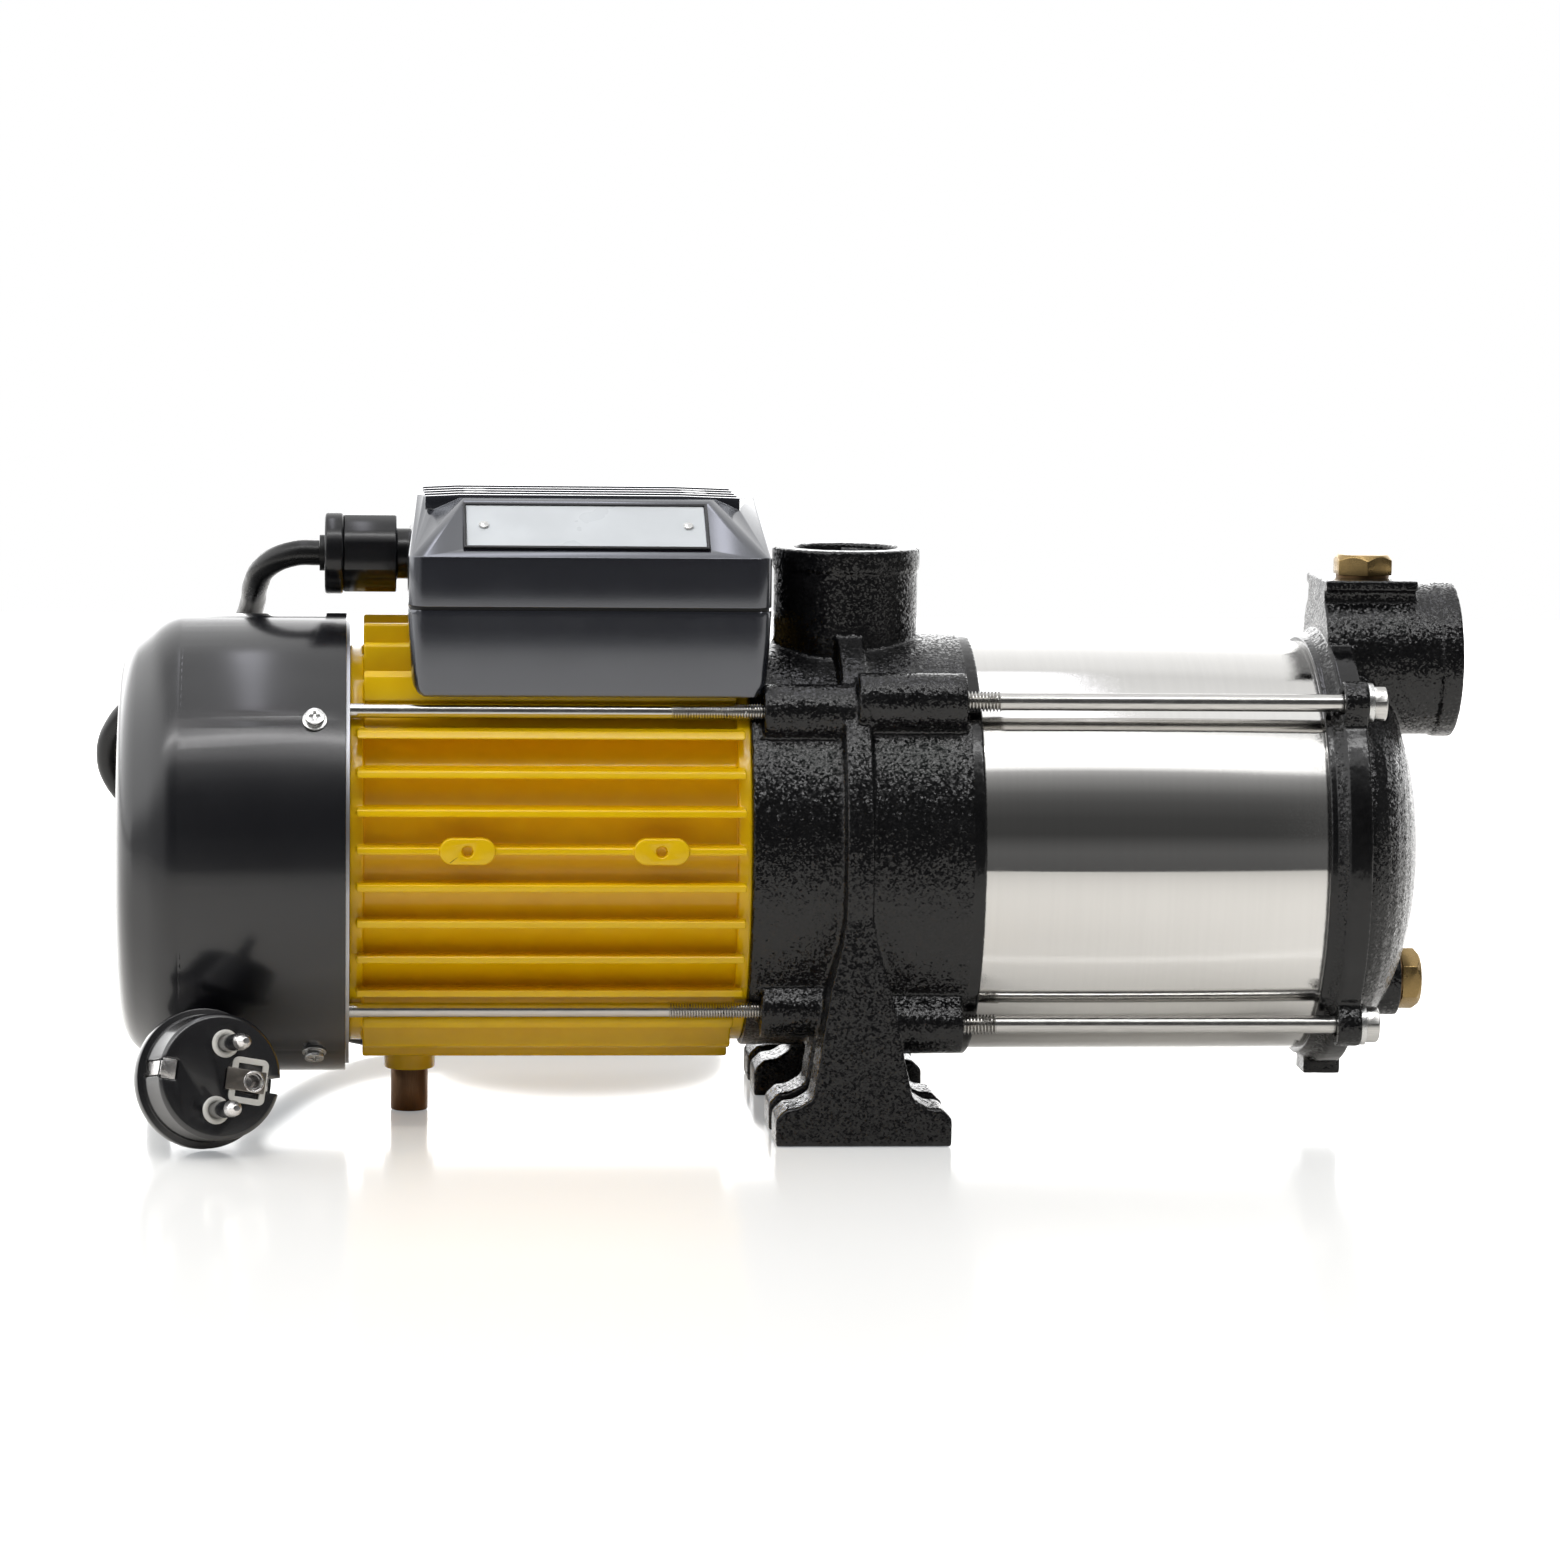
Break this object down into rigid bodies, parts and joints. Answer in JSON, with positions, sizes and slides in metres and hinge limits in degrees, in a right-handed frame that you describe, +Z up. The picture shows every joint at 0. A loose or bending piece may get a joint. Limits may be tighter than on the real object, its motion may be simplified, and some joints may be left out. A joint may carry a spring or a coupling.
{
  "type": "horizontal multistage pump",
  "caption": "Horizontal multistage centrifugal pump with finned electric motor, stainless barrel, threaded ports, terminal box and mains lead.",
  "frame": {"origin": "on the floor, at the middle of the four foot slots of the pump bracket", "axes": "+X along the shaft towards the suction port, +Z up towards the discharge port, +Y to the rear, away from the nameplate"},
  "size_m": [0.4064, 0.3071, 0.1846],
  "materials": {
    "black_plastic": "satin moulded black plastic with a bluish sheen",
    "grey_plastic": "moulded dark grey plastic",
    "box_plastic": "satin anthracite plastic",
    "gland_plastic": "satin black nylon",
    "pale_plastic": "pale moulded plastic",
    "stage_plastic": "filled pale plastic",
    "impeller_plastic": "filled amber plastic",
    "yellow_paint": "gloss yellow paint over cast aluminium",
    "black_casting": "rough casting under gloss black paint",
    "cast_aluminium": "as cast",
    "plate_aluminium": "anodised plate",
    "bearing_steel": "ground",
    "lamination_steel": "stacked laminations",
    "stainless_steel": "drawn and polished rod",
    "polished_stainless": "mirror polished stainless steel",
    "bright_steel": "zinc plated",
    "chrome_pins": "nickel plated",
    "enamelled_copper": "enamelled copper wire",
    "bronze_sleeve": "dull bronze",
    "brass": "machined brass",
    "black_rubber": "moulded rubber",
    "cord_rubber": "rubber sheathed cable",
    "plug_rubber": "solid rubber plug",
    "ceramic": "lapped ceramic",
    "carbon": "lapped carbon",
    "fibre_washer": "copper coloured sealing washer"
  },
  "bodies": {
    "pump": {"fan_cover": "black_plastic", "fan_cover_screws": "bright_steel", "fan_cover_washers": "bright_steel", "rear_end_shield": "cast_aluminium", "rear_bearing_outer": "bearing_steel", "motor_housing": "yellow_paint", "motor_foot": "bronze_sleeve", "motor_foot_screw": "bright_steel", "stator_core": "lamination_steel", "stator_windings": "enamelled_copper", "front_bearing_outer": "bearing_steel", "motor_tie_bolts": "stainless_steel", "terminal_box_base": "box_plastic", "terminal_box_gasket": "black_rubber", "terminal_box_lid": "box_plastic", "terminal_box_screws": "bright_steel", "terminal_block": "pale_plastic", "run_capacitor": "pale_plastic", "nameplate": "plate_aluminium", "nameplate_rivets": "bright_steel", "cable_gland_body": "gland_plastic", "cable_gland_seal": "black_rubber", "cable_gland_nut": "gland_plastic", "power_cord_lead": "cord_rubber", "power_cord_coil": "cord_rubber", "power_cord_tail": "cord_rubber", "plug_body": "plug_rubber", "plug_pins": "chrome_pins", "plug_earth_clips": "chrome_pins", "pump_bracket": "black_casting", "seal_stationary_ring": "ceramic", "rear_barrel_gasket": "black_rubber", "pump_barrel": "polished_stainless", "front_barrel_gasket": "black_rubber", "stage_diffusers": "stage_plastic", "suction_cover": "black_casting", "pump_tie_bolts": "stainless_steel", "pump_tie_washers": "bright_steel"},
    "rotor": {"shaft": "stainless_steel", "cooling_fan": "grey_plastic", "fan_clip": "bright_steel", "rear_bearing_inner": "bearing_steel", "front_bearing_inner": "bearing_steel", "rotor_core": "lamination_steel", "rotor_cage": "cast_aluminium", "water_slinger": "black_rubber", "seal_rotating_ring": "carbon", "seal_spring": "stainless_steel", "impellers": "impeller_plastic", "impeller_spacers": "stainless_steel", "impeller_nut": "brass"},
    "rear_balls": {"rear_bearing_balls": "bearing_steel", "rear_bearing_cage": "bearing_steel"},
    "front_balls": {"front_bearing_balls": "bearing_steel", "front_bearing_cage": "bearing_steel"},
    "priming_plug": {"priming_plug": "brass", "priming_plug_washer": "fibre_washer"},
    "drain_plug": {"drain_plug": "brass", "drain_plug_washer": "fibre_washer"}
  },
  "joints": [
    {"name": "rotor_spin", "type": "hinge", "parent": "pump", "child": "rotor", "pos_m": [0, 0, 0.08], "axis": [1, 0, 0], "continuous": true},
    {"name": "rear_balls_orbit", "type": "hinge", "parent": "pump", "child": "rear_balls", "pos_m": [-0.165, 0, 0.08], "axis": [1, 0, 0], "continuous": true},
    {"name": "front_balls_orbit", "type": "hinge", "parent": "pump", "child": "front_balls", "pos_m": [-0.0255, 0, 0.08], "axis": [1, 0, 0], "continuous": true},
    {"name": "priming_plug_out", "type": "slide", "parent": "pump", "child": "priming_plug", "axis": [0, 0, 1], "range_m": [0, 0.016]},
    {"name": "drain_plug_out", "type": "slide", "parent": "pump", "child": "drain_plug", "axis": [1, 0, 0], "range_m": [0, 0.016]}
  ],
  "couplings": [
    {"joint": "rear_balls_orbit", "follows": "rotor_spin", "ratio": 0.38},
    {"joint": "front_balls_orbit", "follows": "rotor_spin", "ratio": 0.38}
  ]
}
